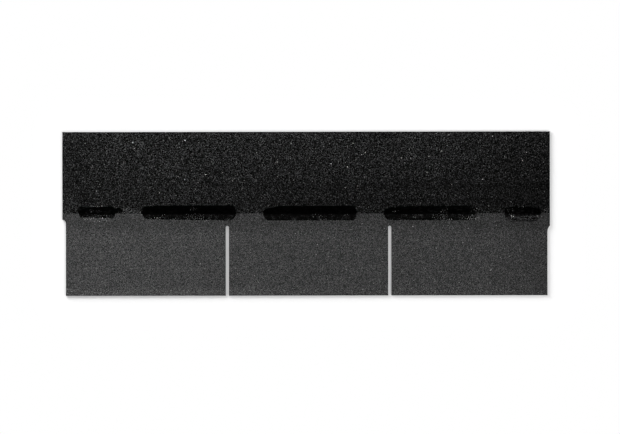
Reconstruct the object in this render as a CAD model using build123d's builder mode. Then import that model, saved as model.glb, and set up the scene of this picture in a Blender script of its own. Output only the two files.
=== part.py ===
"""One three-tab asphalt roof shingle, lying flat with its weather face up.

The sheet is a single die-cut piece: a full-width upper band, called the headlap, and three tabs
below it, parted by two narrow cut-outs and trimmed at both ends by a half cut-out. Five strips of
black bitumen sealant lie across the middle of the sheet, ready to bond to the next course.

Frame, in millimetres: +X along the sheet, +Y from the lower edge of the tabs to the upper edge,
+Z up from the underside. The origin is the centre of the underside.
"""

import os
from math import acos, degrees, sqrt

from build123d import *

# Sheet
SHEET_LENGTH = 1000.0
SHEET_HEIGHT = 336.0
SHEET_THICKNESS = 3.0

# Cut-outs between the tabs, each open at the lower edge and round at its upper end
TAB_COUNT = 3
CUTOUT_SHIFT = 4.8
CUTOUT_WIDTH = 6.6
CUTOUT_LENGTH = 143.0

# Half cut-outs at the two ends: a round one at the left, and one with a swept shoulder at the right
LEFT_NOTCH_DEPTH = 7.1
LEFT_NOTCH_LENGTH = 156.0
RIGHT_NOTCH_DEPTH = 5.2
RIGHT_NOTCH_LENGTH = 143.0
RIGHT_SHOULDER_RADIUS = 20.0

# Sealant strips, laid in a row with even gaps: a short one near each end and whole ones between.
# A rise is how far a strip's middle lies above the middle of the sheet.
LEFT_STRIP_MARGIN = 33.4
RIGHT_STRIP_MARGIN = 18.2
STRIP_GAP = 55.5
STRIP_WIDTH = 29.0
STRIP_RISE = 1.8
END_STRIP_LENGTH = 75.2
END_STRIP_WIDTH = 22.5
END_STRIP_RISE = 3.8
STRIP_THICKNESS = 0.8
STRIP_CORNER_RADIUS = 9.0
STRIP_EDGE_ROUND = 0.5
STRIP_TAPER_LENGTH = 34.0
STRIP_TAPER_DROP = 8.0
TAIL_LENGTH = 15.0
TAIL_WIDTH = 8.0
TAIL_INSET = 2.0

# How much of a wall a rounding may take
CORNER_LIMIT_SHARE = 0.48
EDGE_LIMIT_SHARE = 0.8

# How far a cut runs past the edge that it opens
CUT_OVERRUN = 5.0

LEFT_END = -SHEET_LENGTH / 2
RIGHT_END = SHEET_LENGTH / 2
LOWER_EDGE = -SHEET_HEIGHT / 2
TAB_PITCH = SHEET_LENGTH / TAB_COUNT
CUTOUT_CENTRES = [LEFT_END + CUTOUT_SHIFT + tab * TAB_PITCH for tab in range(1, TAB_COUNT)]

# Right-hand half cut-out: its straight side, and the shoulder that sweeps from it to the sheet's end
NOTCH_SIDE = RIGHT_END - RIGHT_NOTCH_DEPTH
SHOULDER_TURN = degrees(acos(1 - RIGHT_NOTCH_DEPTH / RIGHT_SHOULDER_RADIUS))
SHOULDER_RISE = sqrt(2 * RIGHT_SHOULDER_RADIUS * RIGHT_NOTCH_DEPTH - RIGHT_NOTCH_DEPTH**2)
SHOULDER_FOOT = LOWER_EDGE + RIGHT_NOTCH_LENGTH - SHOULDER_RISE

# Strips from left to right. The whole strips share the room that the margins, gaps and end strips leave.
STRIP_NAMES = [
    "sealant_left_end",
    "sealant_left",
    "sealant_middle",
    "sealant_right",
    "sealant_right_end",
]
FIRST_STRIP, *WHOLE_STRIPS, _ = STRIP_NAMES
GAPS_LENGTH = STRIP_GAP * (len(STRIP_NAMES) - 1)
STRIPS_LENGTH = SHEET_LENGTH - LEFT_STRIP_MARGIN - RIGHT_STRIP_MARGIN - GAPS_LENGTH
WHOLE_STRIP_LENGTH = (STRIPS_LENGTH - 2 * END_STRIP_LENGTH) / len(WHOLE_STRIPS)


def cut_round_slot(centre, width, length):
    """Takes a slot out of the open sketch, up from the lower edge, with a full round at its top."""
    straight = length - width / 2
    with Locations((centre, LOWER_EDGE - CUT_OVERRUN)):
        Rectangle(width, straight + CUT_OVERRUN, align=(Align.CENTER, Align.MIN), mode=Mode.SUBTRACT)
    with Locations((centre, LOWER_EDGE + straight)):
        Circle(width / 2, mode=Mode.SUBTRACT)


def save(piece, name):
    """Labels a finished piece and writes it as its own file."""
    piece.label = name
    export_step(piece, f"parts/{name}.step")


os.makedirs("parts", exist_ok=True)

# Shingle sheet, die-cut in one piece
with BuildPart() as sheet:
    with BuildSketch() as outline:
        Rectangle(SHEET_LENGTH, SHEET_HEIGHT)
        for cutout_centre in CUTOUT_CENTRES:
            cut_round_slot(cutout_centre, CUTOUT_WIDTH, CUTOUT_LENGTH)
        cut_round_slot(LEFT_END, 2 * LEFT_NOTCH_DEPTH, LEFT_NOTCH_LENGTH)
        with BuildLine():
            side = Line((NOTCH_SIDE, LOWER_EDGE - CUT_OVERRUN), (NOTCH_SIDE, SHOULDER_FOOT))
            shoulder = JernArc(side @ 1, side % 1, RIGHT_SHOULDER_RADIUS, -SHOULDER_TURN)
            Polyline(
                shoulder @ 1,
                (RIGHT_END + CUT_OVERRUN, LOWER_EDGE + RIGHT_NOTCH_LENGTH),
                (RIGHT_END + CUT_OVERRUN, LOWER_EDGE - CUT_OVERRUN),
                side @ 0,
            )
        make_face(mode=Mode.SUBTRACT)
    extrude(amount=SHEET_THICKNESS)
save(sheet.part, "shingle_sheet")

# Sealant strips. Every strip but the first tapers at its left end, where the sealant starts to flow,
# and the first ends in a thin tail, where the sealant was drawn off.
left = LEFT_END + LEFT_STRIP_MARGIN
for strip_name in STRIP_NAMES:
    whole = strip_name in WHOLE_STRIPS
    width = STRIP_WIDTH if whole else END_STRIP_WIDTH
    rise = STRIP_RISE if whole else END_STRIP_RISE
    right = left + (WHOLE_STRIP_LENGTH if whole else END_STRIP_LENGTH)
    low = rise - width / 2
    high = rise + width / 2
    tapered = strip_name != FIRST_STRIP
    taper_drop = STRIP_TAPER_DROP if tapered else 0
    taper_start = [(left + STRIP_TAPER_LENGTH, high)] if tapered else []
    corner = min(STRIP_CORNER_RADIUS, CORNER_LIMIT_SHARE * (width - taper_drop))
    with BuildPart() as strip:
        with BuildSketch(Plane.XY.offset(SHEET_THICKNESS)) as strip_outline:
            with BuildLine():
                Polyline(
                    (left, low),
                    (right, low),
                    (right, high),
                    *taper_start,
                    (left, high - taper_drop),
                    close=True,
                )
            make_face()
            fillet(strip_outline.vertices(), corner)
            if strip_name == FIRST_STRIP:
                tail_reach = TAIL_LENGTH - TAIL_WIDTH / 2
                tail_middle = high - TAIL_INSET - TAIL_WIDTH / 2
                with Locations((right - corner, tail_middle)):
                    Rectangle(corner + tail_reach, TAIL_WIDTH, align=(Align.MIN, Align.CENTER))
                with Locations((right + tail_reach, tail_middle)):
                    Circle(TAIL_WIDTH / 2)
        extrude(amount=STRIP_THICKNESS)
        top_rim = strip.faces().sort_by(Axis.Z)[-1].edges()
        fillet(top_rim, min(STRIP_EDGE_ROUND, EDGE_LIMIT_SHARE * STRIP_THICKNESS))
    save(strip.part, strip_name)
    left = right + STRIP_GAP
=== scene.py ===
"""Dresses a three-tab asphalt shingle that lies flat, seen from straight above.

The sheet gets a bed of mineral granules, each one a small closed stone, in bands along its length: dark
ones on the headlap and charcoal ones on the tabs. The five sealant strips become lumpy beads of black
bitumen that thin out at their worn edges, where granules poke through. Metres throughout, in the frame of
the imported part: +X along the sheet, +Y towards the headlap, +Z out of the weather face.
"""

import math
from dataclasses import dataclass, replace

import bmesh
import bpy
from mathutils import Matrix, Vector, noise


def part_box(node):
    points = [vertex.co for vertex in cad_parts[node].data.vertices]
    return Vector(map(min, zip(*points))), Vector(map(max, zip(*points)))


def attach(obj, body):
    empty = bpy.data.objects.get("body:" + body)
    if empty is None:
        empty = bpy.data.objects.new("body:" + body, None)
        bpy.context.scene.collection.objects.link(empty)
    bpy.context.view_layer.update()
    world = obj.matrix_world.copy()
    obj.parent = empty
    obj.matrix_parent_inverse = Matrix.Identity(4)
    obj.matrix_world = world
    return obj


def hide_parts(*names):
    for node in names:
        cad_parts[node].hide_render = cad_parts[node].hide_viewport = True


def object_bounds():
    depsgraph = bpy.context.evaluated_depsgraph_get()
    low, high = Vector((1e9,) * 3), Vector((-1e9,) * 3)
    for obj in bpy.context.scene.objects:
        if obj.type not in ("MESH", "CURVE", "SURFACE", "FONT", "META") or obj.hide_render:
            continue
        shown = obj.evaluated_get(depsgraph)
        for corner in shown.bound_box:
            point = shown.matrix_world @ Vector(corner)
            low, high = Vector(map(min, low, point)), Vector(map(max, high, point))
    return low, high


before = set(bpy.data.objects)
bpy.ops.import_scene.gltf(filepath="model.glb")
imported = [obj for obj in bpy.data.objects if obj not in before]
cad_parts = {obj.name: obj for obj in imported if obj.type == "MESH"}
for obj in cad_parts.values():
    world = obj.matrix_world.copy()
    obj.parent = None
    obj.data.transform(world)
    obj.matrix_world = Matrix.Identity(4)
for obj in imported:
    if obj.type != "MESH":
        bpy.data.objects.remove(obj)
cad_low, cad_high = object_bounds()
sheet_low, sheet_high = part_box("shingle_sheet")

MM = 0.001
ROOT = "root"

# The sheet body's top lies below the weather face, to make room for the granules
GRANULE_DEPTH = 0.65 * MM
BODY_TOP = sheet_high.z - GRANULE_DEPTH

# Height on the sheet where the tabs' granules end and the headlap's begin
ZONE_LINE = 0.3 * MM


def in_mm(*values):
    """These lengths, given in millimetres."""
    return tuple(value * MM for value in values)


def mixed(first, second, share):
    """Goes from first to second as share goes from 0 to 1."""
    return first * (1 - share) + second * share


# Node graphs


class Socket:
    """A socket of a node tree. Arithmetic on it adds Math nodes to that tree."""

    def __init__(self, graph, socket):
        self.graph = graph
        self.socket = socket

    def _math(self, operation, *values):
        inputs = dict(enumerate(values))
        return self.graph.make("ShaderNodeMath", {"operation": operation}, inputs)

    def __add__(self, other):
        return self._math("ADD", self, other)

    def __radd__(self, other):
        return self._math("ADD", other, self)

    def __sub__(self, other):
        return self._math("SUBTRACT", self, other)

    def __rsub__(self, other):
        return self._math("SUBTRACT", other, self)

    def __mul__(self, other):
        return self._math("MULTIPLY", self, other)

    def __rmul__(self, other):
        return self._math("MULTIPLY", other, self)

    def __truediv__(self, other):
        return self._math("DIVIDE", self, other)

    def __rtruediv__(self, other):
        return self._math("DIVIDE", other, self)

    def __pow__(self, other):
        return self._math("POWER", self, other)

    def __mod__(self, other):
        return self._math("FLOORED_MODULO", self, other)

    def __lt__(self, other):
        return self._math("LESS_THAN", self, other)

    def __abs__(self):
        return self._math("ABSOLUTE", self)

    def floor(self):
        return self._math("FLOOR", self)

    def ceil(self):
        return self._math("CEIL", self)

    def root(self):
        return self._math("SQRT", self)

    def at_least(self, other):
        return self._math("MAXIMUM", self, other)

    def at_most(self, other):
        return self._math("MINIMUM", self, other)

    def output(self, name):
        """Another output of the node that this socket belongs to."""
        return Socket(self.graph, pick(self.socket.node.outputs, name))


def pick(sockets, key):
    """A node's socket by its place, or the first one in use that has this name."""
    if isinstance(key, int):
        return sockets[key]
    return next(s for s in sockets if s.name == key and s.enabled)


@dataclass
class Fade:
    """A smooth change from low to high, as what it follows goes from start to end."""

    start: float
    end: float
    low: float = 0.0
    high: float = 1.0


@dataclass
class Grain:
    """A noise pattern: how fine it is, how many finer layers it has, and its pace along X, Y and Z."""

    scale: float
    detail: float = 2.0
    pace: tuple = ()


class Graph:
    """Builds one node tree."""

    def __init__(self, tree):
        self.tree = tree

    def make(self, kind, settings=None, inputs=None, output=None):
        """Adds a node with its settings, then its input values and links, and gives one of its outputs."""
        node = self.tree.nodes.new(kind)
        for name, value in (settings or {}).items():
            setattr(node, name, value)
        for key, value in (inputs or {}).items():
            target = pick(node.inputs, key)
            if isinstance(value, Socket):
                self.tree.links.new(value.socket, target)
            else:
                target.default_value = value
        if output is not None:
            return Socket(self, pick(node.outputs, output))
        in_use = [s for s in node.outputs if s.enabled]
        return Socket(self, in_use[0]) if in_use else None

    def object_place(self):
        """The shaded point in the object's own coordinates, and its X, Y and Z."""
        place = self.make("ShaderNodeTexCoord", output="Object")
        x = self.make("ShaderNodeSeparateXYZ", inputs={"Vector": place})
        return place, x, x.output("Y"), x.output("Z")

    def noise(self, place, grain):
        """Noise from 0 to 1 over this place."""
        if grain.pace:
            place = self.make("ShaderNodeMapping", inputs={"Vector": place, "Scale": grain.pace})
        inputs = {"Vector": place, "Scale": grain.scale, "Detail": grain.detail}
        return self.make("ShaderNodeTexNoise", inputs=inputs, output="Fac")

    def fade(self, value, fade):
        """What a fade gives at this value."""
        ends = {"From Min": fade.start, "From Max": fade.end, "To Min": fade.low, "To Max": fade.high}
        return self.make("ShaderNodeMapRange", {"interpolation_type": "SMOOTHSTEP"}, {"Value": value, **ends})

    def line(self, value, middle, half_width):
        """1 where value is at the middle of a line, falling to 0 at half_width from it."""
        return self.fade(abs(value - middle), Fade(half_width, 0.0))

    def grey(self, value):
        """A value as a neutral colour."""
        return self.make("ShaderNodeCombineColor", inputs={"Red": value, "Green": value, "Blue": value})

    def show(self, shader, kind="ShaderNodeOutputMaterial"):
        """Makes this shader the surface of the graph's material or world."""
        self.make(kind, inputs={"Surface": shader})


# Materials

MATTE_ROUGHNESS = 0.9
RELIEF_DEPTH = 0.3 * MM


def new_material(name):
    """An empty node material, with its graph."""
    material = bpy.data.materials.new(name)
    material.use_nodes = True
    material.node_tree.nodes.clear()
    return material, Graph(material.node_tree)


def coat(graph, tone, roughness, specular, relief=None, strength=0.0):
    """Shows a grey surface of this tone, with a relief where it is given."""
    inputs = {"Base Color": graph.grey(tone), "Roughness": roughness, "Specular IOR Level": specular}
    if relief is not None:
        bump = {"Strength": strength, "Distance": RELIEF_DEPTH, "Height": relief}
        inputs["Normal"] = graph.make("ShaderNodeBump", inputs=bump)
    graph.show(graph.make("ShaderNodeBsdfPrincipled", inputs=inputs))


# Granules: the tone of each zone, which is mottled
HEADLAP_TONE = 0.0226
TAB_TONE = 0.0810
MOTTLE = Grain(22.0, detail=3.0)
MOTTLE_LEAST = 0.82
MOTTLE_SPREAD = 0.36


def granule_material(name, tone, drift):
    """Stone granules: each has a tone of its own, about a zone tone that drifts over the sheet."""
    material, graph = new_material(name)
    place, x, y, _ = graph.object_place()
    stone = graph.make("ShaderNodeAttribute", {"attribute_name": "granule_tone"}, output="Fac")
    level, contrast = drift(graph, x, y)
    mottle = MOTTLE_LEAST + MOTTLE_SPREAD * graph.noise(place, MOTTLE)
    coat(graph, tone * stone**contrast * level * mottle, MATTE_ROUGHNESS, specular=0.0)
    return material


@dataclass
class DarkStreak:
    """A streak along the headlap: its middle's height on the sheet, half its width, and how dark it is."""

    middle: float
    half_width: float
    depth: float


# Drift of the headlap's tone: from its foot to its upper edge, and along it
HEADLAP_FOOT = Fade(-300 * MM, 300 * MM, low=0.93, high=0.76)
HEADLAP_RISE = Fade(20 * MM, 168 * MM, high=1.22)
HEADLAP_UPPER_EDGE = Fade(150 * MM, 165 * MM, low=1.0, high=1.1)
HEADLAP_LEVEL = 1.07
HEADLAP_LEFT_END = Fade(-380 * MM, -490 * MM, high=-0.22)
HEADLAP_RIGHT_END = Fade(280 * MM, 490 * MM, high=-0.34)
LEFT_FOOT_ALONG = Fade(-455 * MM, -490 * MM, high=0.62)
LEFT_FOOT_UP = Fade(70 * MM, 5 * MM)
DARK_STREAKS = [DarkStreak(55 * MM, 13 * MM, depth=0.26), DarkStreak(24 * MM, 14 * MM, depth=0.18)]
DARK_STREAKS_ALONG = Fade(-320 * MM, -60 * MM, low=0.2)


def headlap_drift(graph, x, y):
    """Level and contrast of the headlap's tone.

    It is paler towards its upper edge, darker at its right foot and both ends, and paler at its left foot.
    Two dark streaks run along it and fade out to the left.
    """
    foot = graph.fade(x, HEADLAP_FOOT)
    level = graph.fade(y, replace(HEADLAP_RISE, low=foot)) * graph.fade(y, HEADLAP_UPPER_EDGE)
    along = graph.fade(x, DARK_STREAKS_ALONG)
    for streak in DARK_STREAKS:
        level = level * (1 - streak.depth * graph.line(y, streak.middle, streak.half_width) * along)
    left_foot = graph.fade(x, LEFT_FOOT_ALONG) * graph.fade(y, LEFT_FOOT_UP)
    ends = graph.fade(x, HEADLAP_LEFT_END) + graph.fade(x, HEADLAP_RIGHT_END)
    return level * (HEADLAP_LEVEL + ends + left_foot), 1.0


# Drift of the tabs' tone: from the sealant to their lower edge, and along the sheet, where it holds painted
# shade
TAB_BELOW_SEALANT = Fade(-46 * MM, -20 * MM, low=1.0, high=0.74)
TAB_LOWER_EDGE = Fade(-146 * MM, -160 * MM)
TAB_LOWER_EDGE_ALONG = Fade(-300 * MM, 350 * MM, low=0.3, high=0.08)
# Painted shade: the tabs' tone falls from left to right, standing in for the lamps' fall-off across the sheet
TAB_PAINTED_FALLOFF = Fade(-350 * MM, 150 * MM, low=1.03, high=0.90)
TAB_LEFT_END = Fade(-380 * MM, -490 * MM, high=-0.06)
TAB_RIGHT_END = Fade(360 * MM, 490 * MM, high=-0.18)
TAB_CONTRAST = Fade(-350 * MM, 350 * MM, low=1.0, high=1.35)


def tab_drift(graph, x, y):
    """Level and contrast of the tabs' tone.

    They are darker just below the sealant and paler along their lower edge. Along the sheet their tone falls
    to the right as painted shade of the lamps' fall-off, darker still at the right end, and livelier towards
    the right.
    """
    lower_edge = graph.fade(y, TAB_LOWER_EDGE) * graph.fade(x, TAB_LOWER_EDGE_ALONG)
    # along holds the painted shade of the lamps' fall-off, and the darker ends
    along = graph.fade(x, TAB_PAINTED_FALLOFF) + graph.fade(x, TAB_LEFT_END) + graph.fade(x, TAB_RIGHT_END)
    return (graph.fade(y, TAB_BELOW_SEALANT) + lower_edge) * along, graph.fade(x, TAB_CONTRAST)


def no_drift(graph, x, y):
    """Loose granules have the same level and contrast wherever they lie."""
    return 1.0, 1.0


# Felt of the sheet body: grit on top, fibres and a glass mat in its cut edge, and sand below
GRIT_SCALE = 900.0
GRIT_TONE = 0.0012
GRIT_SPREAD = Fade(ZONE_LINE + 0.5 * MM, ZONE_LINE - 0.5 * MM, low=0.0008, high=0.0308)
EDGE_TONE = 0.006
FIBRES = Grain(700.0, pace=(1.0, 1.0, 3.0))
FIBRE_TONE = 0.012
MAT_HEIGHT = 1.25 * MM
MAT_HALF_WIDTH = 0.3 * MM
MAT_TONE = 0.05
SAND = Grain(1400.0, detail=4.0)
SAND_TONE = 0.02
SAND_SPREAD = 0.05
FELT_TOP = Fade(BODY_TOP - 0.1 * MM, BODY_TOP - 0.02 * MM)
FELT_UNDERSIDE = Fade(0.05 * MM, 0.01 * MM)
FELT_SPECULAR = 0.02
FELT_RELIEF = 0.8


def felt_material():
    """Bitumen-coated felt: fine grit on top, sand below, and a pale line of glass mat in the cut edge."""
    material, graph = new_material("bitumen_felt")
    place, _, y, z = graph.object_place()
    cells = graph.make("ShaderNodeTexVoronoi", inputs={"Vector": place, "Scale": GRIT_SCALE}, output="Color")
    grit = graph.make("ShaderNodeSeparateColor", inputs={"Color": cells})
    top_tone = GRIT_TONE + graph.fade(y, GRIT_SPREAD) * grit
    fibre = graph.noise(place, FIBRES)
    mat = graph.line(z, MAT_HEIGHT, MAT_HALF_WIDTH)
    edge_tone = EDGE_TONE + MAT_TONE * mat * fibre + FIBRE_TONE * fibre
    sand_tone = SAND_TONE + SAND_SPREAD * graph.noise(place, SAND) ** 2
    upper_tone = mixed(edge_tone, top_tone, graph.fade(z, FELT_TOP))
    tone = mixed(upper_tone, sand_tone, graph.fade(z, FELT_UNDERSIDE))
    coat(graph, tone, MATTE_ROUGHNESS, FELT_SPECULAR, relief=grit, strength=FELT_RELIEF)
    return material


# Sealant: wrinkles along the strips, smudges that are paler away from the middle strips, and dust below
SEALANT_TONE = 0.0002
SEALANT_ROUGHNESS = 0.22
SEALANT_SPECULAR = 0.009
SEALANT_RELIEF = 0.35
WRINKLES = Grain(260.0, detail=3.0, pace=(0.35, 1.0, 1.0))
WRINKLE_ROUGHNESS = 0.3
SMUDGES = Grain(330.0, detail=4.0, pace=(0.5, 1.0, 1.0))
SMUDGE_SHARE = Fade(0.5, 0.72)
SMUDGE_MIDDLE = -60 * MM
SMUDGE_TONE = Fade(230 * MM, 340 * MM, low=0.0014, high=0.0045)
DUST = Grain(420.0, detail=3.0, pace=(0.4, 1.0, 1.0))
DUST_TONE = Fade(0.5, 0.75, low=0.0009, high=0.0059)
DUSTY_PART = Fade(1 * MM, -3 * MM)


def sealant_material():
    """Black bitumen with a soft sheen: wrinkled along the strip, smudged, and dusty in its lower part."""
    material, graph = new_material("bitumen_sealant")
    place, x, y, _ = graph.object_place()
    wrinkle = graph.noise(place, WRINKLES)
    smudged = graph.fade(graph.noise(place, SMUDGES), SMUDGE_SHARE)
    smudge_tone = graph.fade(abs(x - SMUDGE_MIDDLE), SMUDGE_TONE) * smudged
    dust_tone = graph.fade(graph.noise(place, DUST), DUST_TONE) * graph.fade(y, DUSTY_PART)
    tone = SEALANT_TONE + smudge_tone + dust_tone
    roughness = SEALANT_ROUGHNESS + WRINKLE_ROUGHNESS * wrinkle
    coat(graph, tone, roughness, SEALANT_SPECULAR, relief=wrinkle, strength=SEALANT_RELIEF)
    return material


headlap_granules = granule_material("headlap_granules", HEADLAP_TONE, headlap_drift)
tab_granules = granule_material("tab_granules", TAB_TONE, tab_drift)
felt = felt_material()
sealant = sealant_material()


# Meshes and pieces

JOIN_DISTANCE = 0.01 * MM


def to_mesh(form, name):
    """Turns a bmesh into a mesh."""
    mesh = bpy.data.meshes.new(name)
    form.to_mesh(mesh)
    form.free()
    return mesh


def add_object(name, data):
    """Puts an object with this data in the scene."""
    added = bpy.data.objects.new(name, data)
    bpy.context.scene.collection.objects.link(added)
    return added


def make_piece(piece):
    """Makes an object a piece of the shingle, under the shingle's root."""
    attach(piece, ROOT)


def add_piece(name, mesh, material):
    """Puts a mesh in the scene as a piece of the shingle."""
    mesh.materials.append(material)
    piece = add_object(name, mesh)
    make_piece(piece)
    return piece


def sheet_copy():
    """The sheet's own mesh as a bmesh, with its loose triangles joined."""
    form = bmesh.new()
    form.from_mesh(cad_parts["shingle_sheet"].data)
    bmesh.ops.remove_doubles(form, verts=form.verts, dist=JOIN_DISTANCE)
    return form


def on_weather_face(vertex):
    """Whether a corner of the sheet is on its weather face, and not on its underside."""
    return vertex.co.z > sheet_high.z / 2


# Sheet body


def add_sheet_body():
    """The sheet's own shape, with its top lowered to make room for the granules."""
    form = sheet_copy()
    for vertex in filter(on_weather_face, form.verts):
        vertex.co.z = BODY_TOP
    body = add_piece("sheet_body", to_mesh(form, "sheet_body"), felt)
    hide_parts("shingle_sheet")


add_sheet_body()


# Granule beds

# How a bed is made where a zone or a spill says nothing else. Lengths are in metres, the density is the most
# stones on a square metre, the tilt is in radians, and the rest are plain numbers.
GRANULES = {
    "Spacing": 1.2 * MM,
    "Density": 1.6e6,
    "Edge margin": 0.45 * MM,
    "Radius": 0.92 * MM,
    "Radius spread": 0.22,
    "Flatness": 0.62,
    "Tilt": 0.6,
    "Chipping": 0.22,
    "Seat": 0.1 * MM,
    "Tone spread": 0.0,
    "Pale share": 0.0,
    "Pale tone": 1.0,
    "Pale power": 1.0,
}
GRANULE_INPUTS = {
    "Sheet outline": "NodeSocketObject",
    **{name: "NodeSocketFloat" for name in GRANULES},
    "Seed": "NodeSocketInt",
    "Material": "NodeSocketMaterial",
}

# A stone before it is chipped: its sides and rings, and how narrow it may be
STONE_SEGMENTS = 4
STONE_RINGS = 2
STONE_NARROWEST = 0.7

# Least of the random values that spread the pale stones' tones
PALE_LEAST = 0.15

# Half the side of a stone's square in the bake map, as a share of the room that it has there
BAKE_HALF_SHARE = 0.4


class ScatterGraph(Graph):
    """A Geometry Nodes tree with a geometry input and output and named inputs."""

    def __init__(self, name, inputs):
        super().__init__(bpy.data.node_groups.new(name, "GeometryNodeTree"))
        interface = self.tree.interface
        interface.new_socket("Geometry", in_out="INPUT", socket_type="NodeSocketGeometry")
        for input_name, kind in inputs.items():
            interface.new_socket(input_name, in_out="INPUT", socket_type=kind)
        interface.new_socket("Geometry", in_out="OUTPUT", socket_type="NodeSocketGeometry")
        self.group = self.make("NodeGroupInput")
        self.draws = 0

    def given(self, name):
        """One of the tree's named inputs."""
        return self.group.output(name)

    def random(self, low=0.0, high=1.0, vector=False):
        """A random value or vector for each point, from a seed of its own."""
        self.draws += 1
        kind = "FLOAT_VECTOR" if vector else "FLOAT"
        return self.make(
            "FunctionNodeRandomValue",
            {"data_type": kind},
            {"Min": low, "Max": high, "Seed": self.given("Seed") + self.draws},
        )

    def bell(self):
        """A random value for each point about 0, with a standard deviation of 1."""
        return (self.random() + self.random() + self.random() - 1.5) * 2

    def vector(self, x, y, z):
        """A vector of three values."""
        return self.make("ShaderNodeCombineXYZ", inputs={"X": x, "Y": y, "Z": z})

    def scaled(self, vector, factor):
        """A vector times a value."""
        return self.make("ShaderNodeVectorMath", {"operation": "SCALE"}, {"Vector": vector, "Scale": factor})

    def keep(self, geometry, name, value, kind="FLOAT", domain="POINT"):
        """Stores a value on the geometry under this name."""
        return self.make(
            "GeometryNodeStoreNamedAttribute",
            {"data_type": kind, "domain": domain},
            {"Geometry": geometry, "Name": name, "Value": value},
        )

    def kept(self, name, kind="FLOAT"):
        """A value that was stored under this name."""
        return self.make("GeometryNodeInputNamedAttribute", {"data_type": kind}, {"Name": name})

    def finish(self, geometry):
        """Sets the material and makes this geometry the tree's result."""
        painted = self.make(
            "GeometryNodeSetMaterial",
            inputs={"Geometry": geometry, "Material": self.given("Material")},
        )
        self.make("NodeGroupOutput", inputs={"Geometry": painted})
        return self.tree


def clear_of_edges(graph, points):
    """Takes away the points that lie too near the cut edges of the sheet."""
    outline = graph.make(
        "GeometryNodeObjectInfo",
        inputs={"Object": graph.given("Sheet outline")},
        output="Geometry",
    )
    faces_beside = graph.make("GeometryNodeInputMeshEdgeNeighbors")
    rim = graph.make(
        "GeometryNodeSeparateGeometry",
        {"domain": "EDGE"},
        {"Geometry": outline, "Selection": faces_beside < 2},
    )
    to_rim = graph.make(
        "GeometryNodeProximity",
        {"target_element": "EDGES"},
        {"Geometry": rim},
        output="Distance",
    )
    return graph.make(
        "GeometryNodeDeleteGeometry",
        {"domain": "POINT"},
        {"Geometry": points, "Selection": to_rim < graph.given("Edge margin")},
    )


def stone_tone(graph):
    """Each stone's tone, as a share of its zone's: most lie about 1, and a few are pale."""
    spread = graph.given("Tone spread")
    shade = 1 + spread * graph.bell()
    tone = shade * shade / (1 + spread * spread)
    pale = graph.random() < graph.given("Pale share")
    pale_tone = graph.given("Pale tone") * graph.random(PALE_LEAST, 1.0) ** graph.given("Pale power")
    return mixed(tone, pale_tone, pale)


def stone_instances(graph, points):
    """Puts a stone on each point, with its own tone, size and turn."""
    points = graph.keep(points, "granule_tone", stone_tone(graph))
    size = graph.given("Radius") * (1 + graph.given("Radius spread") * graph.random(-1.0, 1.0))
    points = graph.keep(points, "granule_size", size)
    points = graph.keep(points, "granule_number", graph.make("GeometryNodeInputIndex"))
    stone = graph.make(
        "GeometryNodeMeshUVSphere",
        inputs={"Segments": STONE_SEGMENTS, "Rings": STONE_RINGS, "Radius": 1.0},
        output="Mesh",
    )
    stone = graph.keep(stone, "stone_place", graph.make("GeometryNodeInputPosition"), kind="FLOAT_VECTOR")
    tilt = graph.given("Tilt")
    turn = graph.vector(
        tilt * graph.random(-1.0, 1.0),
        tilt * graph.random(-1.0, 1.0),
        graph.random(0.0, math.tau),
    )
    shape = graph.vector(size, size * graph.random(STONE_NARROWEST, 1.0), size * graph.given("Flatness"))
    return graph.make(
        "GeometryNodeInstanceOnPoints",
        inputs={"Points": points, "Instance": stone, "Rotation": turn, "Scale": shape},
    )


def chipped(graph, stones):
    """Makes the stones real, lifts them to their seat and moves each corner a little."""
    solid = graph.make("GeometryNodeRealizeInstances", inputs={"Geometry": stones})
    corner = graph.random((-1.0, -1.0, -1.0), (1.0, 1.0, 1.0), vector=True)
    chip = graph.scaled(corner, graph.kept("granule_size") * graph.given("Chipping"))
    lift = graph.vector(0.0, 0.0, graph.given("Seat"))
    offset = graph.make("ShaderNodeVectorMath", {"operation": "ADD"}, {0: chip, 1: lift})
    return graph.make("GeometryNodeSetPosition", inputs={"Geometry": solid, "Offset": offset})


def with_bake_map(graph, stones, solid):
    """Gives each stone a small square of its own in the map that its colour is baked to."""
    count = graph.make(
        "GeometryNodeAttributeDomainSize",
        {"component": "INSTANCES"},
        {"Geometry": stones},
        output="Instance Count",
    )
    side = count.root().ceil()
    number = graph.kept("granule_number")
    column = number % side
    row = (number / side).floor()
    x = graph.make("ShaderNodeSeparateXYZ", inputs={"Vector": graph.kept("stone_place", kind="FLOAT_VECTOR")})
    across = (column + 0.5 + BAKE_HALF_SHARE * x) / side
    up = (row + 0.5 + BAKE_HALF_SHARE * x.output("Y")) / side
    solid = graph.keep(solid, "OFBake", graph.vector(across, up, 0.0), kind="FLOAT2", domain="CORNER")
    for name in ("stone_place", "granule_number", "granule_size"):
        solid = graph.make("GeometryNodeRemoveAttribute", inputs={"Geometry": solid, "Name": name})
    return solid


def granule_tree():
    """Scatters closed stones over a face, evenly but at random, each with a tone."""
    graph = ScatterGraph("granule_bed", GRANULE_INPUTS)
    points = graph.make(
        "GeometryNodeDistributePointsOnFaces",
        {"distribute_method": "POISSON"},
        {
            "Mesh": graph.given("Geometry"),
            "Distance Min": graph.given("Spacing"),
            "Density Max": graph.given("Density"),
            "Seed": graph.given("Seed"),
        },
    )
    stones = stone_instances(graph, clear_of_edges(graph, points))
    return graph.finish(with_bake_map(graph, stones, chipped(graph, stones)))


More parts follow.
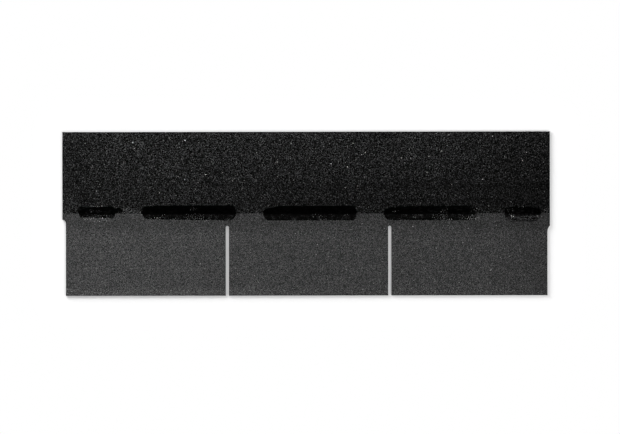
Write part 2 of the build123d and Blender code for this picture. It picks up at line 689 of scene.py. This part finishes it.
def grow(piece, tree, settings):
    """Runs a tree on a piece with these settings, and keeps the result as the piece's plain mesh."""
    modifier = piece.modifiers.new(tree.name, "NODES")
    modifier.node_group = tree
    sockets = {s.name: s.identifier for s in tree.interface.items_tree if s.in_out == "INPUT"}
    for name, value in settings.items():
        modifier[sockets[name]] = value
    depsgraph = bpy.context.evaluated_depsgraph_get()
    mesh = bpy.data.meshes.new_from_object(piece.evaluated_get(depsgraph), depsgraph=depsgraph)
    piece.modifiers.remove(modifier)
    old = piece.data
    piece.data = mesh
    mesh.name = piece.name
    bpy.data.meshes.remove(old)


def top_face():
    """The sheet's weather face alone, at the height of the sheet body's top."""
    form = sheet_copy()
    other_faces = [face for face in form.faces if not all(map(on_weather_face, face.verts))]
    bmesh.ops.delete(form, geom=other_faces, context="FACES")
    for vertex in form.verts:
        vertex.co.z = BODY_TOP
    return form


def band_face(low, high):
    """The part of the weather face that lies between two heights on the sheet."""
    form = top_face()
    for height, normal in ((low, (0, -1, 0)), (high, (0, 1, 0))):
        bmesh.ops.bisect_plane(
            form,
            geom=[*form.verts, *form.edges, *form.faces],
            plane_co=(0, height, 0),
            plane_no=normal,
            clear_outer=True,
        )
    return form


granule_bed = granule_tree()
outline_mesh = to_mesh(top_face(), "sheet_outline")
sheet_outline = add_object("sheet_outline", outline_mesh)


def lay_granules(name, face, material, changes):
    """Covers a face with granules, and keeps them as a piece of the shingle."""
    piece = add_object(name, to_mesh(face, name))
    grow(piece, granule_bed, GRANULES | changes | {"Sheet outline": sheet_outline, "Material": material})
    make_piece(piece)


# Seeds: each bed has enough of them for its random draws
SEEDS_PER_BED = 20
SEEDS_PER_ZONE = 100
FIRST_SPILL_SEED = 300


@dataclass
class Zone:
    """One colour zone of the weather face, between two heights on the sheet.

    The pale shares are those of its lower, middle and upper band. With a pale power of 1 the pale granules go
    evenly up to the pale tone, and with one of -1 most are near it and a few are far paler.
    """

    name: str
    low: float
    high: float
    material: bpy.types.Material
    tone_spread: float
    pale_shares: tuple
    pale_tone: float
    pale_power: float


ZONES = [
    Zone(
        "headlap",
        low=ZONE_LINE,
        high=sheet_high.y,
        material=headlap_granules,
        tone_spread=0.63,
        pale_shares=(0.0008, 0.0017, 0.0026),
        pale_tone=7.4,
        pale_power=-1.0,
    ),
    Zone(
        "tab",
        low=sheet_low.y,
        high=ZONE_LINE,
        material=tab_granules,
        tone_spread=0.155,
        pale_shares=(0.0022, 0.0022, 0.0022),
        pale_tone=5.0,
        pale_power=1.0,
    ),
]
BAND_NAMES = ["lower", "middle", "upper"]


def add_beds(zone, first_seed):
    """Covers a zone with granules, in bands from its lower to its upper edge."""
    band_height = (zone.high - zone.low) / len(BAND_NAMES)
    for band_number, (band_name, pale_share) in enumerate(zip(BAND_NAMES, zone.pale_shares)):
        low = zone.low + band_number * band_height
        changes = {
            "Tone spread": zone.tone_spread,
            "Pale share": pale_share,
            "Pale tone": zone.pale_tone,
            "Pale power": zone.pale_power,
            "Seed": first_seed + SEEDS_PER_BED * band_number,
        }
        face = band_face(low, low + band_height)
        lay_granules(f"{zone.name}_granules_{band_name}", face, zone.material, changes)


for zone_number, zone in enumerate(ZONES):
    add_beds(zone, SEEDS_PER_ZONE * zone_number)


# Loose granules


@dataclass
class Spill:
    """Granules that came loose: their tone, how far apart and how high they lie, and on which rectangles.

    A rectangle is its left, right, lower and upper edge on the sheet.
    """

    name: str
    tone: float
    tone_spread: float
    spacing: float
    seat: float
    places: list


SPILLS = [
    Spill(
        "loose_granules",
        tone=0.3,
        tone_spread=0.6,
        spacing=3.2 * MM,
        seat=0.6 * MM,
        places=[
            in_mm(-457, -434, -12, -7.5),
            in_mm(-440, -404, -15.5, -8),
            in_mm(-443, -418, 15, 16.5),
            in_mm(-321, -299, -13.5, -7.5),
            in_mm(289, 303, -13, -10),
            in_mm(330, 356, -12, -7),
            in_mm(418, 427, -9, -5),
            in_mm(474, 484, -7, -3.5),
        ],
    ),
    Spill(
        "dust_granules",
        tone=0.13,
        tone_spread=0.2,
        spacing=2.6 * MM,
        seat=0.5 * MM,
        places=[
            in_mm(-376, -354, 3, 12),
            in_mm(-368, -340, -3, 9),
            in_mm(-358, -337, -9, -1),
            in_mm(487, 496, 4, 9),
        ],
    ),
    Spill(
        "granules_on_film",
        tone=0.12,
        tone_spread=0.26,
        spacing=3.6 * MM,
        seat=0.85 * MM,
        places=[
            in_mm(-440, -408, -5, -1),
            in_mm(-298, -288, -4, 0),
            in_mm(-276, -267, -11, -7),
            in_mm(-246, -209, -11, 0),
            in_mm(-50, -43, -4, -1),
            in_mm(13, 33, -7, -1),
            in_mm(27, 42, -13, -9.5),
            in_mm(78, 85, -3, 0),
            in_mm(219, 224, -8.5, -6),
            in_mm(259, 283, -9, 0),
            in_mm(320, 350, -10, -4),
            in_mm(416, 426, -5, -1),
        ],
    ),
    Spill(
        "granules_on_beads",
        tone=0.09,
        tone_spread=0.6,
        spacing=4.2 * MM,
        seat=1.2 * MM,
        places=[
            in_mm(-444, -436, 4, 9),
            in_mm(-430, -410, 3, 7),
            in_mm(-242, -222, 7, 12),
            in_mm(176, 193, 4, 7),
            in_mm(276, 290, -2, 13),
            in_mm(336, 350, 4, 12),
            in_mm(412, 424, 2, 10),
            in_mm(432, 452, 12.5, 15),
        ],
    ),
]
LOOSE_RADIUS = 0.8 * MM


def add_spill(spill, seed):
    """Drops a spill's granules on its rectangles."""
    form = bmesh.new()
    for left, right, low, high in spill.places:
        corners = ((left, low), (right, low), (right, high), (left, high))
        form.faces.new([form.verts.new((x, y, BODY_TOP)) for x, y in corners])
    changes = {
        "Spacing": spill.spacing,
        "Radius": LOOSE_RADIUS,
        "Seat": spill.seat,
        "Tone spread": spill.tone_spread,
        "Seed": seed,
    }
    lay_granules(spill.name, form, granule_material(spill.name, spill.tone, no_drift), changes)


for spill_number, spill in enumerate(SPILLS):
    add_spill(spill, FIRST_SPILL_SEED + SEEDS_PER_BED * spill_number)
bpy.data.objects.remove(sheet_outline)
bpy.data.meshes.remove(outline_mesh)


# Sealant beads

# Step of a bead's mesh, and the step between the beads' seeds
BEAD_STEP = 0.9 * MM
BEAD_SEED_STEP = 11.3

# Heights of a bead's foot, of its film over the tabs and of its full part, and its least thickness
BEAD_FOOT = BODY_TOP + 0.2 * MM
BEAD_FILM = sheet_high.z
BEAD_FULL = sheet_high.z + 0.6 * MM
BEAD_LEAST = 0.02 * MM

# Heights on the sheet where the film ends and the full part begins
FILM_LINE = -2 * MM
FULL_LINE = 0.5 * MM

# How far a bead spreads past its strip, how far in its rounded edge reaches, how blunt its ends are, and its
# least width
BEAD_SPREAD = 1.3 * MM
BEAD_CROWN = 1.6 * MM
BLUNT_END = 0.3 * MM
LEAST_WIDTH = 1 * MM

# How far the upper edge drops to the tail, from before the strip's body ends to past it
TAIL_DROP = 2.4 * MM
TAIL_DROP_BEFORE = 8 * MM
TAIL_DROP_PAST = 2 * MM

# Wear: how deep a wear of 1 goes, how much further it spreads, that of a frayed end, and a scuff's wear,
# width and lean
WEAR_DEPTH = 1 * MM
WEAR_SPREAD = 0.3
FRAY_WEAR = 1.5
SCUFF_WEAR = 0.5
SCUFF_WIDTH = 3 * MM
SCUFF_LEAN = 0.3

# Dragged film: how softly it starts, how far it sinks, and the rise, the ends and the flat middle of its
# streaks
DRAG_START = 1 * MM
DRAG_DEPTH = 0.7 * MM
STREAK_RISE = 0.35 * MM
STREAK_END = 3 * MM
STREAK_FLAT_SHARE = 0.4


@dataclass
class Layer:
    """A layer of smooth noise on a bead, with a number that no other layer has.

    It has features of this size, or longer along the strip where its pace there is under 1.
    """

    number: int
    size: float
    weight: float = 1.0
    pace: float = 1.0


# Edges and their bites are shares of how ragged a strip is, lumps and patches are heights, and the rest is
# wear
UPPER_EDGE = [Layer(0, 9 * MM, weight=0.3)]
LOWER_EDGE = [Layer(7, 6 * MM, weight=0.3)]
BITES = [Layer(8, 3.2 * MM), Layer(9, 1.8 * MM, weight=0.6)]
LUMPS = [Layer(1, 7 * MM, weight=0.1 * MM), Layer(2, 2.2 * MM, weight=0.08 * MM)]
FILM_PATCHES = [Layer(6, 8 * MM, weight=0.35 * MM)]
SMEARS = [Layer(3, 2.6 * MM, pace=0.22), Layer(5, 4 * MM, weight=0.8)]
SCUFF_MARKS = [Layer(4, 3 * MM, weight=0.9)]


@dataclass
class Bead:
    """How one sealant strip flowed and wore.

    The reaches are how far along the strip its corners are rounded off: upper left, lower left, lower right
    and upper right. The taper is how far from the left end the upper edge rises, and by how much. The lower
    edge is held back at its left and its right, and the upper edge all along. The strip is worn at its left
    and its right. It may have a tail, a scuff across it at one place, and a right end that is frayed for some
    way. It may be dragged past its lower edge, where only streaks of it stay. A streak is its left and right
    end, its height on the sheet and half its width.
    """

    number: int
    node: str
    reaches: tuple
    taper: tuple
    lower_hold: tuple
    upper_hold: float
    ragged: float
    wear: tuple
    tail: float = 0.0
    scuff: float = math.inf
    frayed: float = 0.0
    drag: float = 0.0
    streaks: tuple = ()

    def __post_init__(self):
        self.low, self.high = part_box(self.node)
        self.seed = BEAD_SEED_STEP * self.number


BEADS = [
    Bead(
        1,
        "sealant_left_end",
        reaches=in_mm(5, 4, 6, 7),
        taper=in_mm(20, 0),
        lower_hold=in_mm(2.2, -1),
        upper_hold=1 * MM,
        ragged=3.2 * MM,
        wear=(0.1, 0.25),
        tail=15 * MM,
        frayed=16 * MM,
    ),
    Bead(
        2,
        "sealant_left",
        reaches=in_mm(6, 12, 15, 7),
        taper=in_mm(40, 2),
        lower_hold=in_mm(3, 0),
        upper_hold=0.0,
        ragged=2.0 * MM,
        wear=(0.35, 0.0),
    ),
    Bead(
        3,
        "sealant_middle",
        reaches=in_mm(8, 13, 9, 9),
        taper=in_mm(36, 7),
        lower_hold=in_mm(0, 0),
        upper_hold=1.2 * MM,
        ragged=1.3 * MM,
        wear=(0.0, 0.1),
    ),
    Bead(
        4,
        "sealant_right",
        reaches=in_mm(14, 16, 6, 14),
        taper=in_mm(52, 5),
        lower_hold=in_mm(0, 0),
        upper_hold=1.5 * MM,
        ragged=2.8 * MM,
        wear=(0.05, 0.2),
        scuff=281 * MM,
        frayed=18 * MM,
    ),
    Bead(
        5,
        "sealant_right_end",
        reaches=in_mm(12, 10, 16, 26),
        taper=in_mm(20, 0),
        lower_hold=in_mm(0, 4),
        upper_hold=2.2 * MM,
        ragged=3.6 * MM,
        wear=(0.25, 0.3),
        drag=8 * MM,
        streaks=(
            in_mm(420, 434, -11.8, 1.4),
            in_mm(436, 458, -8.6, 1.2),
            in_mm(460, 477, -10.6, 0.9),
            in_mm(449, 479, -14.6, 0.8),
        ),
    ),
]


def relief(bead, layers, x, y=0.0):
    """The sum of these layers of noise at one place on a strip."""
    total = 0.0
    for layer in layers:
        place = (x * layer.pace / layer.size, y / layer.size, bead.seed + layer.number)
        total += layer.weight * noise.noise(Vector(place))
    return total


def ramp(value, start, end):
    """Goes evenly from 0 to 1 as value goes from start to end."""
    return min(1.0, max(0.0, (value - start) / (end - start)))


def end_round(distance, reach):
    """How far out an edge has come at this distance from the strip's end: 0 at the end, 1 past its reach."""
    left = max(0.0, 1 - distance / reach)
    return math.sqrt(max(0.0, 1 - left * left))


def along_strip(bead, ends, x):
    """A value that goes evenly from a strip's left to its right end, at this place."""
    return mixed(*ends, ramp(x, bead.low.x, bead.high.x))


def bead_edges(bead, x):
    """The lower and upper edge of a strip at this place along it."""
    low, high = bead.low, bead.high
    body_end = high.x - bead.tail
    middle = (low.y + high.y) / 2
    half = (high.y - low.y) / 2 + BEAD_SPREAD
    from_left = x - low.x + BLUNT_END
    from_right = high.x - x + BLUNT_END
    from_body_end = max(0.0, body_end - x) + BLUNT_END
    upper_left, lower_left, lower_right, upper_right = bead.reaches
    upper = min(end_round(from_left, upper_left), end_round(from_right, upper_right))
    lower = min(end_round(from_left, lower_left), end_round(from_body_end, lower_right))
    taper_length, taper_drop = bead.taper
    upper_half = half - bead.upper_hold - taper_drop * ramp(x, low.x + taper_length, low.x)
    lower_half = half + (bead.drag or -along_strip(bead, bead.lower_hold, x))
    top = middle + upper_half * upper - bead.ragged * relief(bead, UPPER_EDGE, x)
    bottom = middle - lower_half * lower - bead.ragged * relief(bead, LOWER_EDGE, x)
    if bead.tail:
        top -= TAIL_DROP * ramp(x, body_end - TAIL_DROP_BEFORE, body_end + TAIL_DROP_PAST)
        bottom = bottom if x < body_end else middle
    return min(bottom, top - LEAST_WIDTH), top


def drag_share(bead, x, y):
    """0 on the strip itself and 1 past its own lower edge, where its film was dragged."""
    line = bead.low.y + along_strip(bead, bead.lower_hold, x)
    return ramp(y, line + DRAG_START, line - DRAG_START) if bead.drag else 0.0


def streak_share(bead, x, y):
    """1 along a streak of dragged film, falling to 0 beside it."""
    share = 0.0
    for left, right, middle, half_width in bead.streaks:
        ends = ramp(min(x - left, right - x), 0.0, STREAK_END)
        share = max(share, ends * ramp(abs(y - middle), half_width, STREAK_FLAT_SHARE * half_width))
    return share


def worn_share(bead, x, y):
    """How much of a strip's surface is worn off at one place, by smears, a frayed end and a scuff."""
    wear = along_strip(bead, bead.wear, x)
    if bead.frayed:
        wear += FRAY_WEAR * ramp(x, bead.high.x - bead.frayed, bead.high.x)
    smear = max(0.0, relief(bead, SMEARS, x, y) + WEAR_SPREAD * wear)
    scuff = math.exp(-(((x - bead.scuff + SCUFF_LEAN * y) / SCUFF_WIDTH) ** 2))
    return wear * smear + scuff * (SCUFF_WEAR + relief(bead, SCUFF_MARKS, x, y))


def bead_height(bead, x, y, edge):
    """Height of a strip's surface at one place, this far in from its nearest edge.

    It is a full bead over the headlap, and a thin worn film over the tabs.
    """
    full = ramp(y, FILM_LINE, FULL_LINE)
    dragged = drag_share(bead, x, y)
    lumps = relief(bead, LUMPS, x, y) + (1 - full) * relief(bead, FILM_PATCHES, x, y)
    drawn = dragged * mixed(-DRAG_DEPTH, STREAK_RISE, streak_share(bead, x, y))
    surface = mixed(BEAD_FILM, BEAD_FULL, full) + lumps - WEAR_DEPTH * worn_share(bead, x, y) + drawn
    bite = (1 - dragged) * bead.ragged * relief(bead, BITES, x, y)
    height = mixed(BEAD_FOOT, surface, end_round(max(0.0, edge - bite), BEAD_CROWN))
    return min(max(height, BEAD_FOOT + BEAD_LEAST), cad_high.z)


def bead_columns(bead, form):
    """The points of a strip's surface, in columns across it from its left to its right end."""
    low, high = bead.low, bead.high
    steps_along = round((high.x - low.x) / BEAD_STEP)
    steps_across = round((high.y - low.y + bead.drag) / BEAD_STEP)
    columns = []
    for i in range(steps_along + 1):
        x = low.x + (high.x - low.x) * i / steps_along
        bottom, top = bead_edges(bead, x)
        column = []
        for j in range(steps_across + 1):
            y = bottom + (top - bottom) * j / steps_across
            column.append(form.verts.new((x, y, bead_height(bead, x, y, min(y - bottom, top - y)))))
        columns.append(column)
    return columns


def bead_mesh(bead):
    """A closed bead: its surface, with a wall round it and a flat underside."""
    form = bmesh.new()
    columns = bead_columns(bead, form)
    for this, following in zip(columns, columns[1:]):
        for a, b, c, d in zip(this, following, following[1:], this[1:]):
            form.faces.new((a, b, c, d)).smooth = True
    rim = [column[0] for column in columns] + columns[-1][1:]
    rim += [column[-1] for column in columns[-2::-1]] + columns[0][-2:0:-1]
    foot = [form.verts.new((v.co.x, v.co.y, BEAD_FOOT)) for v in rim]
    for a, b, c, d in zip(foot, foot[1:] + foot[:1], rim[1:] + rim[:1], rim):
        form.faces.new((a, b, c, d))
    form.faces.new(foot[::-1])
    return to_mesh(form, bead.node + "_bead")


for bead in BEADS:
    piece = add_piece(bead.node + "_bead", bead_mesh(bead), sealant)
    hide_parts(bead.node)


# Stage, light and camera

# Floor: its level in the picture, the palest paint on it, and how far from the sheet its shadow fades out
FLOOR_SIZE = 60.0
FLOOR_DROP = 0.05 * MM
FLOOR_LEVEL = 0.86
FLOOR_MOST = 0.97
SHADOW_FADE = Fade(14 * MM, 70 * MM)

# Studio walls: their light by its slope, from the walls to the dark ceiling, and how much reaches the floor
WALL_LIGHT = Fade(0.45, 0.8, low=1.6, high=0.0)
WALL_LIGHT_ON_FLOOR = 0.61

LAMP_WIDTH = 1.4
LAMP_HEIGHT = 0.7

# Camera: how much of the sheet's plane the picture spans, and the lens and sensor in millimetres
FRAME_WIDTH = 1.2715
LENS = 85.0
SENSOR = 36.0
CAMERA_CENTRE = in_mm(7.9, -6.9)
CAMERA_ROLL = math.radians(-0.092)


@dataclass
class Lamp:
    """A wide soft lamp that stands beside the sheet and faces it."""

    name: str
    place: Vector
    power: float


LAMPS = [
    Lamp("key", Vector((-1.33, 1.315, 0.5)), 102.0),
    Lamp("fill", Vector((3.0, -2.6, 2.4)), 144.0),
]


def lamp_light(graph, lamp, place):
    """How brightly a lamp lights the floor at this place."""
    away = graph.make("ShaderNodeVectorMath", {"operation": "SUBTRACT"}, {0: place, 1: lamp.place})
    distance = graph.make("ShaderNodeVectorMath", {"operation": "LENGTH"}, {0: away}, "Value")
    axis = -lamp.place.normalized()
    facing = graph.make("ShaderNodeVectorMath", {"operation": "DOT_PRODUCT"}, {0: away, 1: axis}, "Value")
    return lamp.power / (4 * math.pi) * lamp.place.z * facing.at_least(0.0) / distance**4


def floor_material():
    """White paint that keeps the shingle's shadow.

    It is darker where a lamp is nearer, so that the lamps' fall-off doesn't show beside the sheet.
    """
    material, graph = new_material("white_floor")
    place, x, y, _ = graph.object_place()
    light = WALL_LIGHT_ON_FLOOR
    for lamp in LAMPS:
        light = light + lamp_light(graph, lamp, place)
    paint = (FLOOR_LEVEL / light).at_most(FLOOR_MOST)
    path = graph.make("ShaderNodeLightPath", output="Is Camera Ray")
    seen = path + path.output("Is Glossy Ray") + path.output("Is Transmission Ray")
    matte = graph.make("ShaderNodeBsdfDiffuse", inputs={"Color": graph.grey(paint)})
    lift = graph.make("ShaderNodeEmission", inputs={"Strength": (1 - FLOOR_LEVEL) * seen})
    shaded = graph.make("ShaderNodeAddShader", inputs={0: matte, 1: lift})
    white = graph.make("ShaderNodeEmission", inputs={"Strength": 1.0})
    beside = (abs(x) - sheet_high.x).at_least(0.0)
    below = (abs(y) - sheet_high.y).at_least(0.0)
    away = graph.fade((beside**2 + below**2).root(), SHADOW_FADE)
    graph.show(graph.make("ShaderNodeMixShader", inputs={0: away * seen, 1: shaded, 2: white}))
    return material


def add_floor():
    """A wide floor just under the sheet."""
    form = bmesh.new()
    bmesh.ops.create_grid(form, x_segments=1, y_segments=1, size=FLOOR_SIZE / 2)
    bmesh.ops.translate(form, verts=form.verts, vec=(0, 0, -FLOOR_DROP))
    floor = add_object("floor", to_mesh(form, "floor"))
    floor.data.materials.append(floor_material())


def add_world():
    """Pale studio walls all round under a dark ceiling. The camera sees white past the floor."""
    world = bpy.data.worlds.new("studio")
    world.use_nodes = True
    world.node_tree.nodes.clear()
    graph = Graph(world.node_tree)
    direction = graph.make("ShaderNodeTexCoord", output="Generated")
    slope = graph.make("ShaderNodeSeparateXYZ", inputs={"Vector": direction}).output("Z")
    seen = graph.make("ShaderNodeLightPath", output="Is Camera Ray")
    strength = graph.fade(slope, WALL_LIGHT) * (1 - seen) + seen
    graph.show(graph.make("ShaderNodeBackground", inputs={"Strength": strength}), "ShaderNodeOutputWorld")
    bpy.context.scene.world = world


def add_lamp(lamp):
    """Puts a lamp in the scene, turned to the middle of the sheet."""
    light = bpy.data.lights.new(lamp.name, "AREA")
    light.shape = "RECTANGLE"
    light.size = LAMP_WIDTH
    light.size_y = LAMP_HEIGHT
    light.energy = lamp.power
    stand = add_object(lamp.name, light)
    stand.visible_glossy = False
    stand.location = lamp.place
    stand.rotation_euler = (-lamp.place).to_track_quat("-Z", "Y").to_euler()


def add_camera():
    """A long lens, straight above the sheet."""
    lens = bpy.data.cameras.new("camera")
    lens.lens = LENS
    lens.sensor_width = SENSOR
    lens.sensor_fit = "HORIZONTAL"
    camera = add_object("camera", lens)
    distance = FRAME_WIDTH * LENS / SENSOR
    camera.location = (*CAMERA_CENTRE, sheet_high.z + distance)
    camera.rotation_euler = (0, 0, CAMERA_ROLL)
    bpy.context.scene.camera = camera


add_floor()
add_world()
for lamp in LAMPS:
    add_lamp(lamp)
add_camera()
bpy.context.scene.view_settings.view_transform = "Standard"
